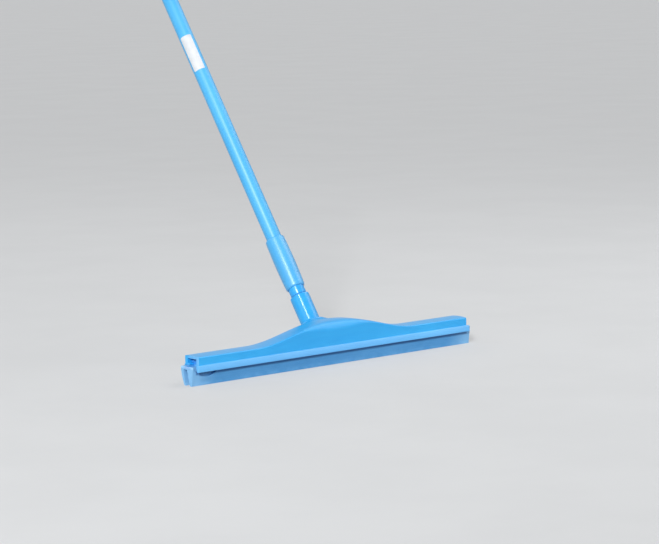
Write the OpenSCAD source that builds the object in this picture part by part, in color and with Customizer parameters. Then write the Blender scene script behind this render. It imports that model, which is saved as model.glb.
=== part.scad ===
// Floor squeegee: a moulded frame with a slide-in double blade and a screw-in handle.
// Millimetres. X runs along the blade, +Y points back towards the user, +Z is up.
// The origin is the middle of the front blade's wiping edge, on the floor.

/* [Frame] */
// Length of the frame's bar, along the blade
frame_len = 676; // [380:1:900]
// Width of the bar, front to back
bar_w = 42; // [40:0.5:52]
// Thickness of the bar's front and rear walls
wall = 7.5; // [4:0.25:8]
// Height of the channel that takes the cassette's rail
channel_h = 9.5; // [8:0.25:12]
// Thickness of the lips that hold the rail in the channel
lip_t = 3.5; // [2.5:0.25:5]
// How far each lip reaches into the channel
lip_w = 5.5; // [4:0.25:6.5]
// Least thickness of the roof over the channel, at the bar's edges
roof_t = 4.5; // [2:0.1:6]
// Rise of the bar's slightly arched top above its edges
crown_rise = 1.2; // [0.5:0.1:4]
// Rounding of the bar's front top edge
edge_r = 2.4; // [1:0.1:5]
// Rounding of the bar's rear top edge
rear_edge_r = 2; // [1:0.25:4]

/* [Hump] */
// Rise of the hump's crest above the bar's front edge
hump_rise = 31.9; // [22:0.1:42]
// Rise of the hump's front edge above the bar's edge
hump_front_rise = 31; // [20:0.5:40]
// Share of the bar's length that the hump takes
hump_share = 0.589; // [0.4:0.001:0.7]
// How full the hump's bell is along its front edge; 1 is a plain cosine
front_fullness = 1.3; // [1:0.05:1.6]
// How full the bell is along the rear edge
rear_fullness = 1.1; // [0.9:0.05:1.6]
// Distance of the crest behind the bar's middle plane
crest_back = 17; // [10:0.5:19]
// Rounding of the hump's front edge
hump_r = 20; // [12:0.5:24]
// How late along the hump that rounder front edge sets in
round_late = 4; // [1:0.5:6]
// Rounding of the hump's rear edge
hump_rear_r = 6; // [3:0.5:9]

/* [Skirts] */
// Height of each skirt along the bar's foot
skirt_h = 11.8; // [10.8:0.1:16]
// How far a skirt hangs below the bar
skirt_drop = 10.3; // [6:0.1:13]
// Width of the ledge on top of a skirt
ledge_w = 2; // [1:0.25:4]
// How far a skirt flares out from its ledge to its lower edge
skirt_flare = 3; // [1:0.25:5]
// Thickness of a skirt
skirt_t = 3.6; // [2.5:0.1:4.5]
// How far the front skirt reaches past each end of the bar
skirt_past = 5; // [0:0.5:8]

/* [Neck] */
// Lean of the neck and handle from upright
lean = 35.2; // [25:0.1:42]
// Where the neck's axis meets the floor, behind the bar's middle plane
neck_foot_back = 11.2; // [6:0.1:16]
// Distance from that floor point to the neck's rim, along the axis
neck_rim = 148; // [140:0.5:170]
// Outer diameter of the neck
neck_d = 39.5; // [36:0.5:44]
// Length of the neck's straight part
neck_len = 62; // [54:0.5:72]
// Radius of the fillet round the neck's foot
neck_fillet = 5; // [3:0.5:8]
// Half of the width of the gusset where it leaves the hump
gusset_half = 46; // [30:1:60]

/* [Thread] */
// Core diameter of the handle's thread
thread_core_d = 20; // [18:0.5:22]
// Height of the thread's ridge
thread_h = 2.2; // [1.5:0.1:2.6]
// Width of the ridge at the core
ridge_root_w = 4.6; // [3.5:0.1:5.2]
// Width of the ridge at its crest
ridge_crest_w = 2.2; // [1.2:0.1:3]
// Lead of the thread: how far one turn moves the handle
thread_lead = 8; // [6:0.5:10]
// Length of the threaded spigot below the seal
spigot_len = 33; // [28:0.5:36]
// Clearance between the two threads
thread_gap = 0.35; // [0.3:0.05:0.6]

/* [Blade] */
// Length of the double blade
blade_len = 700; // [400:1:920]
// Height of the cassette from the floor to its top
blade_h = 36.2; // [32:0.1:42]
// Width of the cassette at its top, front to back
blade_w = 37; // [34:0.5:38]
// Thickness of the web that joins the two blades
web_t = 6; // [5.5:0.1:8]
// Thickness of the front blade below the web
front_root_t = 18; // [12:0.25:20]
// Thickness of the front blade at its wiping edge
front_tip_t = 6; // [4:0.25:8]
// How far the front face draws in from top to edge
front_rake = 4.5; // [2:0.25:6]
// Thickness of the rear blade below the web
rear_root_t = 8; // [5:0.25:10]
// Thickness of the rear blade at its wiping edge
rear_tip_t = 4.4; // [2.5:0.1:6]
// How far the rear face draws in from top to edge
rear_rake = 10; // [6:0.25:11]
// How late that bend sets in; 1 is a straight slope
rear_curve = 1.8; // [1:0.1:2.6]
// Width of the thumb notch in the front face
notch_w = 50; // [40:1:70]
// Depth of the notch below the skirt's lower edge
notch_drop = 10; // [8:0.5:16]
// How far the notch goes into the front face
notch_in = 5.5; // [2:0.25:7]
// Distance of the notch's middle from the blade's end
notch_from_end = 33; // [30:1:80]

/* [Rail] */
// How far the rail's foot stays inside each end of the blade
rail_foot_inset = 0.5; // [0.2:0.1:4]
// How far the rail's head stays inside each end of the frame
rail_head_inset = 10; // [1:0.5:30]
// Thickness of the rail's head
rail_head_t = 5; // [4:0.25:7]
// Thickness of the rail's foot, inside the blade's web
rail_foot_t = 2.2; // [1.8:0.1:2.6]
// Depth of the web over the rail's foot
rail_foot_cover = 1.8; // [1.4:0.1:2.2]
// Width of the rail's foot
rail_foot_w = 22; // [18:0.5:26]
// Width of the rail's stem inside the web
rail_neck_w = 14; // [10:0.5:16]
// Clearance of the rail in the frame
slide_gap = 0.3; // [0.2:0.05:0.5]
// Clearance of the rail in the blade's web
web_gap = 0.1; // [0.05:0.05:0.2]

/* [Handle] */
// Overall length of the handle, from thread end to hanging eye
handle_len = 1310; // [900:5:1700]
// Outer diameter of the tube
tube_d = 31; // [28:0.5:32]
// Wall of the tube
tube_wall = 1.5; // [1:0.1:2.5]
// Diameter of the plug's collar between the seal and the sleeve
collar_d = 32.2; // [32:0.1:34]
// Length of that collar
collar_len = 22; // [16:0.5:30]
// How far the plug reaches up inside the tube
plug_len = 80; // [40:1:120]
// Radial clearance of the pieces that are pushed into or onto the tube
push_gap = 0.05; // [0.02:0.01:0.1]
// Length of the sleeve
sleeve_len = 112; // [70:1:150]
// Diameter of the sleeve at its two ends
sleeve_end_d = 39; // [37:0.1:41]
// Diameter of the sleeve at the middle of its barrel
sleeve_mid_d = 41; // [38:0.1:43]
// Length of the rounded shoulder at the sleeve's lower end
sleeve_shoulder = 7; // [4:0.25:10]
// How far the sleeve laps down over the collar
sleeve_lap = 5.5; // [2:0.1:6]
// Thickness of the seal between collar and neck
seal_t = 2; // [1.5:0.1:3]
// Outer diameter of that seal
seal_d = 31.6; // [30:0.1:32]
// Clearance on each face of the seal
seal_gap = 0.1; // [0.05:0.05:0.2]

/* [Grip] */
// Length of the hand grip
grip_len = 145; // [90:1:220]
// Diameter of the hand grip
grip_d = 36; // [34:0.5:40]
// Number of shallow rings round the grip
grip_rings = 7; // [3:1:12]
// Depth of each ring
grip_ring_depth = 0.9; // [0.4:0.1:1.4]
// Length of the cap's plug inside the tube
cap_plug_len = 26; // [15:1:45]
// Thickness of the cap's flange
cap_flange_t = 4; // [3:0.5:8]
// Diameter of the hole in the hanging eye
eye_hole_d = 12; // [8:0.5:14]
// Outer diameter of the hanging eye
eye_d = 28; // [24:0.5:34]
// Thickness of the hanging eye
eye_t = 9; // [6:0.5:14]

/* [Label] */
// Length of the label along the tube
label_len = 82; // [40:1:120]
// Width of the label round the tube
label_w = 25; // [15:0.5:40]
// Thickness of the label
label_t = 0.2; // [0.1:0.05:0.4]
// Thickness of the glue under the label
glue_t = 0.05; // [0.03:0.01:0.1]
// Distance of the label above the sleeve
label_up = 398; // [100:1:500]
// Direction that the label faces, round the handle's axis
label_turn = 223; // [0:1:359]

/* [Hidden] */
$fn = 96;

blue = [0.12, 0.45, 0.85];
pale_blue = [0.42, 0.66, 0.88];
sleeve_blue = [0.16, 0.50, 0.90];
white = [0.92, 0.93, 0.94];
grey = [0.35, 0.38, 0.42];

// The front blade's edge lies on X, so the bar's middle plane is this far behind it
bar_y = blade_w/2 - front_rake - front_tip_t/2;

// Heights of the frame, from the cassette up
bar_foot = blade_h + slide_gap;
channel_floor = bar_foot + lip_t;
channel_top = channel_floor + channel_h;
bar_edge = channel_top + roof_t;
skirt_foot = bar_foot - skirt_drop;
channel_half = bar_w/2 - wall;
slot_half = channel_half - lip_w;

// The hump's half length, its stations, and the points across the top
hump_half = frame_len*hump_share/2;
hump_stations = 32;
across = 16;
corner_steps = 5;
past = 1;

// Handle stations, measured along the axis from its floor point
seal_low = neck_rim + seal_gap;
collar_low = seal_low + seal_t + seal_gap;
spigot_low = collar_low - spigot_len;
tube_low = collar_low + collar_len;
sleeve_low = tube_low - sleeve_lap;
sleeve_top = sleeve_low + sleeve_len;
eye_centre = spigot_low + handle_len - eye_d/2;
eye_sink = 1;
flange_top = eye_centre - eye_d/2 + eye_sink;
tube_top = flange_top - cap_flange_t;
grip_low = tube_top - grip_len;
tube_bore = tube_d - 2*tube_wall;

// Thread sections: the ridge is sunk a little into the core it stands on
thread_steps = 30;
ridge_sink = 0.6;
ridge_least = 0.2;
socket_floor_gap = 2;
spigot_plain = 4;

// Share of the hump's height at a place along the bar, u across from front to rear
function bell(x, u) =
    let (c = abs(x) < hump_half ? (1 + cos(180*x/hump_half))/2 : 0)
    1 - pow(1 - c, front_fullness + (rear_fullness - front_fullness)*u);

// Heights of the plain bar and of the full hump
function bar_top(u) = bar_edge + crown_rise*(1 - pow(2*u - 1, 2));
function hump_top(u) =
    bar_edge + hump_front_rise
    + (hump_rise - hump_front_rise)*sin(90*min(1, u*bar_w/(bar_w/2 + crest_back)));

// Height of the top at a place along the bar
function top_z(x, u) = (1 - bell(x, u))*bar_top(u) + bell(x, u)*hump_top(u);

// Rounded corner between an upright wall and the top, as a quadratic curve
function bend(a, b, c, t) = (1 - t)*(1 - t)*a + 2*t*(1 - t)*b + t*t*c;

// Cross-section of the bar and hump at a place along it, as [y, z] points
function section(x) =
    let (k = bell(x, 1),
         fr = edge_r + (hump_r - edge_r)*pow(k, round_late),
         rr = rear_edge_r + (hump_rear_r - rear_edge_r)*k,
         half = bar_w/2,
         f = [[-half, top_z(x, 0) - fr], [-half, top_z(x, 0)], [-half + fr, top_z(x, fr/bar_w)]],
         b = [[half - rr, top_z(x, 1 - rr/bar_w)], [half, top_z(x, 1)], [half, top_z(x, 1) - rr]])
    concat([[-half, bar_foot]],
           [for (i = [0:corner_steps]) bend(f[0], f[1], f[2], i/corner_steps)],
           [for (i = [1:across - 1])
               let (u = (fr + (bar_w - fr - rr)*i/across)/bar_w) [-half + u*bar_w, top_z(x, u)]],
           [for (i = [0:corner_steps]) bend(b[0], b[1], b[2], i/corner_steps)],
           [[half, bar_foot]]);

// A solid through equal rings of points, with flat ends
module loft(rings) {
    n = len(rings[0]);
    last = len(rings) - 1;
    sides = [for (i = [0:last - 1], j = [0:n - 1])
        let (a = i*n + j, b = i*n + (j + 1)%n, c = a + n, d = b + n)
        each [[a, b, d], [a, d, c]]];
    ends = [[for (j = [0:n - 1]) n - 1 - j], [for (j = [0:n - 1]) last*n + j]];
    polyhedron([for (ring = rings, point = ring) point], concat(sides, ends), convexity = 6);
}

// An outline in [y, z] drawn out along the blade
module bar_of(length) {
    rotate([90, 0, 90])
        linear_extrude(height = length, center = true)
            children();
}

// Moves a piece drawn upright on the axis to the neck's lean
module on_axis() {
    translate([0, bar_y + neck_foot_back, 0])
        rotate([-lean, 0, 0])
            children();
}

// A helical ridge round the axis, from one height to another; grow widens it all round
module ridge(low, high, grow) {
    turns = (high - low)/thread_lead;
    last = ceil(turns*thread_steps);
    fade = thread_steps/4;
    inner = thread_core_d/2 - ridge_sink;
    outer = thread_core_d/2 + thread_h + grow;
    least = inner + ridge_least;
    loft([for (i = [0:last])
        let (a = 360*turns*i/last,
             z = low + (high - low)*i/last,
             start = 360*low/thread_lead,
             full = grow > 0 ? 1 : min(1, i/fade, (last - i)/fade),
             r = least + (outer - least)*full,
             wr = ridge_root_w/2 + grow,
             wc = ridge_crest_w/2 + grow)
        [for (p = [[inner, -wr], [r, -wc], [r, wc], [inner, wr]])
            [p[0]*cos(a + start), p[0]*sin(a + start), z + p[1]]]]);
}

module bar_and_hump() {
    translate([0, bar_y, 0])
        loft([for (x = concat([-frame_len/2],
                              [for (i = [0:hump_stations]) hump_half*(2*i/hump_stations - 1)],
                              [frame_len/2]))
            [for (p = section(x)) [x, p[0], p[1]]]]);
}

module skirt(reach) {
    out = bar_w/2 + ledge_w;
    low = out + skirt_flare;
    top = skirt_foot + skirt_h;
    round_r = skirt_t/3;
    bar_of(frame_len + 2*reach)
        polygon([[bar_w/2 - past, bar_foot],
                 [bar_w/2 - past, top + ledge_w/3],
                 [bar_w/2, top + ledge_w/3],
                 [out - ledge_w/3, top],
                 [out, top - ledge_w/3],
                 [low, skirt_foot + round_r],
                 [low - round_r/3, skirt_foot + round_r/3],
                 [low - round_r, skirt_foot],
                 [low - skirt_t, skirt_foot],
                 [out - skirt_t, bar_foot]]);
}

// The gusset that carries the neck behind the hump, and the fillet round the neck's foot
module neck_root() {
    plate_t = 1;
    foot = neck_rim - neck_len - plate_t;
    foot_r = neck_d/2 + neck_fillet;
    fillet_inset = 0.02;
    pad_r = 5;
    pad_cover = 1;
    pad_lift = 2;
    pad_share = 0.8;
    pad_y = bar_y + bar_w/2 - pad_r - pad_cover;
    pad_low = bar_foot + pad_lift;
    pad_high = bar_edge + hump_rise*pad_share;
    hull() {
        on_axis() translate([0, 0, foot]) cylinder(r = foot_r, h = plate_t);
        for (side = [-1, 1])
            translate([side*gusset_half, pad_y, pad_low])
                cylinder(r = pad_r, h = pad_high - pad_low, $fn = 24);
    }
    on_axis()
        translate([0, 0, foot])
            difference() {
                cylinder(r = foot_r - fillet_inset, h = neck_fillet + plate_t);
                translate([0, 0, neck_fillet + plate_t])
                    rotate_extrude()
                        translate([foot_r, 0])
                            circle(r = neck_fillet);
            }
}

module neck() {
    rim_r = 1.2;
    on_axis()
        translate([0, 0, neck_rim - neck_len])
            rotate_extrude()
                polygon([[0, 0], [neck_d/2, 0], [neck_d/2, neck_len - rim_r],
                         [neck_d/2 - rim_r*0.3, neck_len - rim_r*0.3],
                         [neck_d/2 - rim_r, neck_len], [0, neck_len]]);
}

module socket() {
    bore = thread_core_d + 2*thread_gap;
    depth = neck_rim - spigot_low + socket_floor_gap;
    on_axis() {
        translate([0, 0, neck_rim - depth]) cylinder(d = bore, h = depth + past);
        ridge(spigot_low + spigot_plain - thread_gap, neck_rim + thread_lead, thread_gap);
    }
}

module squeegee_frame() {
    color(blue)
        difference() {
            union() {
                bar_and_hump();
                translate([0, bar_y, 0]) skirt(0);
                translate([0, bar_y, 0]) mirror([0, 1, 0]) skirt(skirt_past);
                neck_root();
                neck();
            }
            translate([0, bar_y, 0])
                bar_of(frame_len + 2*past)
                    polygon([[-slot_half, bar_foot - past], [slot_half, bar_foot - past],
                             [slot_half, channel_floor], [channel_half, channel_floor],
                             [channel_half, channel_top], [-channel_half, channel_top],
                             [-channel_half, channel_floor], [-slot_half, channel_floor]]);
            socket();
        }
}

// The rail's foot grips the web from end to end of the blade; its stem passes between the lips
// and its head rides on them, from end to end of the frame
module cassette_rail() {
    head_low = channel_floor + slide_gap;
    head_top = head_low + rail_head_t;
    head_half = channel_half - slide_gap;
    stem_half = slot_half - slide_gap;
    foot_top = blade_h - rail_foot_cover - web_gap;
    foot_low = foot_top - rail_foot_t;
    root_half = rail_neck_w/2 - past;
    root_low = foot_top - rail_foot_t/2;
    color(pale_blue)
        translate([0, bar_y, 0]) {
            bar_of(blade_len - 2*rail_foot_inset)
                polygon([[-rail_foot_w/2, foot_low], [rail_foot_w/2, foot_low],
                         [rail_foot_w/2, foot_top], [rail_neck_w/2, foot_top],
                         [rail_neck_w/2, blade_h], [-rail_neck_w/2, blade_h],
                         [-rail_neck_w/2, foot_top], [-rail_foot_w/2, foot_top]]);
            bar_of(frame_len - 2*rail_head_inset)
                polygon([[-root_half, root_low], [root_half, root_low],
                         [root_half, blade_h], [stem_half, blade_h],
                         [stem_half, head_low], [head_half, head_low],
                         [head_half, head_top], [-head_half, head_top],
                         [-head_half, head_low], [-stem_half, head_low],
                         [-stem_half, blade_h], [-root_half, blade_h]]);
        }
}

// Outer and inner lines of the rear blade bend in towards the edge
function rear_bend(s) = pow(s, rear_curve);

module blade_outline() {
    half = blade_w/2;
    web_low = blade_h - web_t;
    front_tip = front_rake - half;
    rear_tip = half - rear_rake;
    slot_top = blade_h - rail_foot_cover;
    slot_low = slot_top - rail_foot_t - 2*web_gap;
    slot_w = rail_foot_w/2 + web_gap;
    mouth_w = rail_neck_w/2 + web_gap;
    corner = 2;
    steps = 8;
    inner_front = front_root_t - half;
    inner_rear = half - rear_root_t;
    polygon(concat(
        [[-half + corner, blade_h], [-half + corner*0.3, blade_h - corner*0.3], [-half, blade_h - corner]],
        [[front_tip, 0], [front_tip + front_tip_t, 0]],
        [[inner_front, web_low - corner], [inner_front + corner*0.3, web_low - corner*0.3],
         [inner_front + corner, web_low]],
        [[inner_rear - corner, web_low], [inner_rear - corner*0.3, web_low - corner*0.3]],
        [for (i = [0:steps])
            let (s = i/steps)
            [inner_rear - (inner_rear - rear_tip + rear_tip_t)*rear_bend(s), (web_low - corner)*(1 - s)]],
        [for (i = [0:steps])
            let (s = 1 - i/steps)
            [half - rear_rake*rear_bend(s), (blade_h - corner)*(1 - s)]],
        [[half - corner*0.3, blade_h - corner*0.3], [half - corner, blade_h]],
        [[mouth_w, blade_h], [mouth_w, slot_top], [slot_w, slot_top], [slot_w, slot_low],
         [-slot_w, slot_low], [-slot_w, slot_top], [-mouth_w, slot_top], [-mouth_w, blade_h]]));
}

module double_blade() {
    notch_r = (pow(notch_w/2, 2) + pow(notch_drop, 2))/(2*notch_drop);
    color(pale_blue)
        translate([0, bar_y, 0])
            difference() {
                bar_of(blade_len) blade_outline();
                translate([notch_from_end - blade_len/2, notch_in - blade_w/2,
                           skirt_foot - notch_drop + notch_r])
                    rotate([90, 0, 0])
                        cylinder(r = notch_r, h = blade_w);
            }
}

module neck_seal() {
    color(grey)
        on_axis()
            translate([0, 0, seal_low])
                difference() {
                    cylinder(d = seal_d, h = seal_t);
                    translate([0, 0, -past])
                        cylinder(r = thread_core_d/2 + thread_h + 2*thread_gap, h = seal_t + 2*past);
                }
}

module thread_plug() {
    tip = 1.5;
    color(blue)
        on_axis() {
            rotate_extrude()
                polygon([[0, spigot_low], [thread_core_d/2 - tip, spigot_low],
                         [thread_core_d/2, spigot_low + tip], [thread_core_d/2, collar_low],
                         [collar_d/2 - tip/2, collar_low], [collar_d/2, collar_low + tip/2],
                         [collar_d/2, tube_low], [tube_bore/2 - push_gap, tube_low],
                         [tube_bore/2 - push_gap, tube_low + plug_len], [0, tube_low + plug_len]]);
            ridge(spigot_low + spigot_plain, collar_low - thread_h - thread_gap, 0);
        }
}

module ferrule_sleeve() {
    steps = 12;
    top_r = 2.5;
    rim_w = 0.6;
    bore = tube_d/2 + push_gap;
    lap_bore = collar_d/2 + push_gap;
    lip_r = lap_bore + rim_w;
    bulge = (sleeve_mid_d - sleeve_end_d)/2;
    low = sleeve_low + sleeve_shoulder;
    high = sleeve_top - top_r;
    color(sleeve_blue)
        on_axis()
            rotate_extrude()
                polygon(concat(
                    [[lap_bore, sleeve_low], [lip_r, sleeve_low]],
                    [for (i = [1:steps])
                        let (a = 90*i/steps)
                        [lip_r + (sleeve_end_d/2 - lip_r)*sin(a),
                         sleeve_low + sleeve_shoulder*(1 - cos(a))]],
                    [for (i = [1:steps])
                        let (t = i/steps)
                        [sleeve_end_d/2 + bulge*sin(180*t), low + (high - low)*t]],
                    [[sleeve_end_d/2 - top_r/4, sleeve_top - top_r/4],
                     [sleeve_end_d/2 - top_r, sleeve_top], [bore, sleeve_top],
                     [bore, tube_low], [lap_bore, tube_low]]));
}

module handle_tube() {
    color(blue)
        on_axis()
            translate([0, 0, tube_low])
                difference() {
                    cylinder(d = tube_d, h = tube_top - tube_low);
                    translate([0, 0, -past]) cylinder(d = tube_bore, h = tube_top - tube_low + 2*past);
                }
}

module handle_label() {
    span = 360*label_w/(PI*tube_d);
    color(white)
        on_axis()
            translate([0, 0, sleeve_top + label_up])
                rotate([0, 0, label_turn - span/2])
                    rotate_extrude(angle = span)
                        translate([tube_d/2 + glue_t, 0])
                            square([label_t, label_len]);
}

module hand_grip() {
    end_r = 2.5;
    pitch = (grip_len - 4*end_r)/grip_rings;
    color(sleeve_blue)
        on_axis()
            translate([0, 0, grip_low])
                difference() {
                    rotate_extrude()
                        polygon(concat(
                            [[0, 0], [grip_d/2 - end_r, 0], [grip_d/2 - end_r*0.3, end_r*0.3]],
                            [[grip_d/2, end_r]],
                            [for (ring = [0:grip_rings - 1], p = [[0, 0.2], [1, 0.4], [1, 0.6], [0, 0.8]])
                                [grip_d/2 - grip_ring_depth*p[0], 2*end_r + pitch*(ring + p[1])]],
                            [[grip_d/2, grip_len], [0, grip_len]]));
                    translate([0, 0, -past])
                        cylinder(r = tube_d/2 + push_gap, h = grip_len + 2*past);
                }
}

module grip_cap() {
    color(sleeve_blue)
        on_axis()
            difference() {
                union() {
                    translate([0, 0, tube_top - cap_plug_len])
                        cylinder(d = tube_bore - 2*push_gap, h = cap_plug_len + past);
                    translate([0, 0, tube_top]) cylinder(d = grip_d, h = cap_flange_t);
                    translate([-eye_t/2, -eye_d/2, tube_top + past])
                        cube([eye_t, eye_d, eye_centre - tube_top - past]);
                    translate([-eye_t/2, 0, eye_centre])
                        rotate([0, 90, 0])
                            cylinder(d = eye_d, h = eye_t);
                }
                translate([-eye_t/2 - past, 0, eye_centre])
                    rotate([0, 90, 0])
                        cylinder(d = eye_hole_d, h = eye_t + 2*past);
            }
}

squeegee_frame();
cassette_rail();
double_blade();
neck_seal();
thread_plug();
ferrule_sleeve();
handle_tube();
handle_label();
hand_grip();
grip_cap();
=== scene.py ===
from math import cos, pi, radians, sin, tan

import bmesh
import bpy
from mathutils import Matrix, Vector


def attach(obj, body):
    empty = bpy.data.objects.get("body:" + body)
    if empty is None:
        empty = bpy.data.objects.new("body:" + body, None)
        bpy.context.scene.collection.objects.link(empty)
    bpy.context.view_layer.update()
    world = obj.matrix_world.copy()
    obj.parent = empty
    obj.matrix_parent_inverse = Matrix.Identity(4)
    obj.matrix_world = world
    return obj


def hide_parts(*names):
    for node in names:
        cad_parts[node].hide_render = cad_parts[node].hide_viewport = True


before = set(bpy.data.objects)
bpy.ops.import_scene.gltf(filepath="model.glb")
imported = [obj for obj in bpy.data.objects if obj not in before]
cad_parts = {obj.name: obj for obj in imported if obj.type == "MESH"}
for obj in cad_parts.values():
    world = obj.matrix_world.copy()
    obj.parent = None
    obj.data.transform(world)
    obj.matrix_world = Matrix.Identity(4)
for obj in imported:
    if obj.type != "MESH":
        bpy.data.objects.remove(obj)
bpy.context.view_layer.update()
scene = bpy.context.scene
scene.view_settings.view_transform = "Standard"

# Shapes are drawn in millimetres and scaled to metres when they are finished.
MM = 0.001
MERGE = 0.0005
TURN_STEPS = 96

# Bar and hump. Y is counted from the bar's middle plane, Z from the floor.
BAR_Y = 11
BAR_HALF = 21
BAR_FOOT = 36.5
BAR_EDGE = 54
FRAME_LEN = 676
CROWN_RISE = 1.2
HUMP_HALF = 199.08
HUMP_RISE = 31.9
HUMP_FRONT_RISE = 31
CREST_AT = 38
FRONT_FULLNESS = 1.3
REAR_FULLNESS = 1.1
FRONT_EDGE_R = 2.4
HUMP_FRONT_R = 20
ROUND_LATE = 4
REAR_EDGE_R = 2
HUMP_REAR_R = 6
CORNER_STEPS = 12
ACROSS_STEPS = 26
BAR_STATIONS = 169
CHANNEL_HALF = 13.5
CHANNEL_FLOOR = 40
CHANNEL_TOP = 49.5
SLOT_HALF = 8
MOULD_EDGE = 0.45

# Skirts. The front one runs on past the bar's ends.
SKIRT_OUT = 23
SKIRT_FOOT_OUT = 26
SKIRT_T = 3.6
SKIRT_FOOT = 26.2
SKIRT_FOOT_R = 0.8
SKIRT_SHOULDER = [(SKIRT_OUT, 37.2), (22.2, 38.1), (BAR_HALF, 38.67)]
SKIRT_PAST = 5

# Handle axis: it leaves the floor behind the bar and leans back. Heights are counted along it.
LEAN = radians(35.2)
AXIS_FOOT_Y = 22.2
AXIS = Vector((0, sin(LEAN), cos(LEAN)))
TO_HANDLE = Matrix.Translation((0, AXIS_FOOT_Y, 0)) @ Matrix.Rotation(-LEAN, 4, "X")

# Gusset and neck. The gusset leaves the hump's rear wall almost square and turns round.
GUSSET_ROOT_IN = 17
GUSSET_ROOT_Z = 58.85
GUSSET_ROOT_HIGH = 20.35
GUSSET_HALF = 51
GUSSET_SQUARE = 5
GUSSET_FLARE = 1.5
GUSSET_STEPS = 14
NECK_R = 19.75
NECK_FOOT = 86
NECK_RIM = 148
NECK_FILLET = 5
FILLET_STEPS = 6
RIM_R = 1.2
RIM_STEPS = 4
SUPPORT = 1
SOCKET_FLOOR = 115.2
SOCKET_CHAMFER = 0.8

# Screw thread of the plug and of the socket
THREAD_CORE_R = 10
THREAD_H = 2.2
THREAD_LEAD = 8
THREAD_GAP = 0.35
THREAD_START = 4
THREAD_STEPS = 48
RIDGE_ROOT = 2.3
RIDGE_CREST = 1.1
PLUG_RIDGE_SUNK = 0.6
SOCKET_RIDGE_SUNK = 0.2
SOCKET_R = THREAD_CORE_R + THREAD_H + THREAD_GAP

# Rail: a head in the bar's channel, a stem through its slot, and a longer foot in the blade
RAIL_LEN = 656
RAIL_FOOT_PAST = 21.5
RAIL_FOOT_HALF = 11
RAIL_FOOT_LOW = 32.1
RAIL_FOOT_TOP = 34.3
RAIL_NECK_HALF = 7
RAIL_STEM_HALF = 7.7
RAIL_HEAD_HALF = 13.2
RAIL_HEAD_LOW = 40.3
RAIL_HEAD_TOP = 45.3
RAIL_GAP = 0.1
RAIL_EDGE = 0.35

# Blade: a web with a thick front lip and a thin, bent rear lip, and a thumb notch in the front one
BLADE_LEN = 700
BLADE_HALF = 18.5
BLADE_TOP = 36.2
WEB_LOW = 30.2
BLADE_CORNER_R = 2
BLADE_CORNER_STEPS = 3
BLADE_EDGE = 0.4
FRONT_LIP_ROOT = 18
FRONT_LIP_TIP = 6
FRONT_LIP_RAKE = 4.5
REAR_LIP_ROOT = 8
REAR_LIP_TIP = 4.4
REAR_LIP_RAKE = 10
REAR_LIP_CURVE = 1.8
REAR_LIP_STEPS = 24
NOTCH_X = -317
NOTCH_Z = 52.45
NOTCH_R = 36.25
NOTCH_BACK = -13
NOTCH_CUT = 40
NOTCH_REACH = 40
NOTCH_STEPS = 160
NOTCH_EDGE = 0.5

# Handle pieces
SEAL_BORE_R = 12.9
SEAL_R = 15.8
SEAL_LOW = 148.1
SEAL_TOP = 150.1
SEAL_EDGE = 0.5
SPIGOT_LOW = 117.2
SPIGOT_TIP = 1.5
COLLAR_LOW = 150.2
COLLAR_R = 16.1
COLLAR_EDGE = 0.75
PLUG_R = 13.95
PLUG_LEN = 80
PLUG_TIP = 1
SNUG = 0.05
TUBE_R = 15.5
TUBE_BORE_R = 14
TUBE_LOW = 172.2
TUBE_TOP = 1396.2
TUBE_EDGE = 0.3
SLEEVE_LOW = 166.7
SLEEVE_TOP = 278.7
SLEEVE_END_R = 19.5
SLEEVE_BULGE = 1
SLEEVE_BULGE_STEPS = 24
SLEEVE_LIP = 0.6
SLEEVE_SHOULDER = 7
SLEEVE_SHOULDER_STEPS = 12
SLEEVE_TOP_R = 2.5
EDGE_STEPS = 8
SMALL_EDGE_STEPS = 2
LABEL_LOW = 676.7
LABEL_LEN = 82
LABEL_W = 25
LABEL_T = 0.2
LABEL_R = 15.55
LABEL_TURN = radians(223)
LABEL_CORNER_R = 2.5
LABEL_CORNER_STEPS = 5
LABEL_SLICES = 24
GRIP_LOW = 1251.2
GRIP_LEN = 145
GRIP_R = 18
GRIP_END_R = 2.5
GRIP_TOP_EDGE = 0.5
GRIP_RINGS = 7
GRIP_RING_DEPTH = 0.9
GRIP_RING_START = 0.18
GRIP_RING_SHARE = 0.64
GRIP_RING_STEPS = 12
CAP_PLUG_LEN = 26
CAP_FLANGE = 4
CAP_EDGE = 0.8
EYE_CENTRE = 1413.2
EYE_R = 14
EYE_HOLE_R = 6
EYE_T = 9
EYE_SUNK = 3
EYE_EDGE = 1


class Wire:
    """A shader socket on which arithmetic adds Math nodes."""

    def __init__(self, nodes, socket):
        self.nodes = nodes
        self.socket = socket

    def math(self, operation, *values):
        return self.nodes.node("ShaderNodeMath", {"operation": operation}, dict(enumerate(values)))

    def __add__(self, other):
        return self.math("ADD", self, other)

    def __radd__(self, other):
        return self.math("ADD", other, self)

    def __sub__(self, other):
        return self.math("SUBTRACT", self, other)

    def __rsub__(self, other):
        return self.math("SUBTRACT", other, self)

    def __mul__(self, other):
        return self.math("MULTIPLY", self, other)

    def __rmul__(self, other):
        return self.math("MULTIPLY", other, self)

    def __abs__(self):
        return self.math("ABSOLUTE", self)

    def either(self, other):
        """The larger of two values."""
        return self.math("MAXIMUM", self, other)

    def step(self, low, high):
        """0 below low, 1 above high, smooth between."""
        return self.nodes.node(
            "ShaderNodeMapRange",
            {"interpolation_type": "SMOOTHSTEP"},
            {"Value": self, "From Min": low, "From Max": high},
        )

    def step_mm(self, low, high):
        """The same for a coordinate, with the two places in millimetres."""
        return self.step(low * MM, high * MM)


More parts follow.
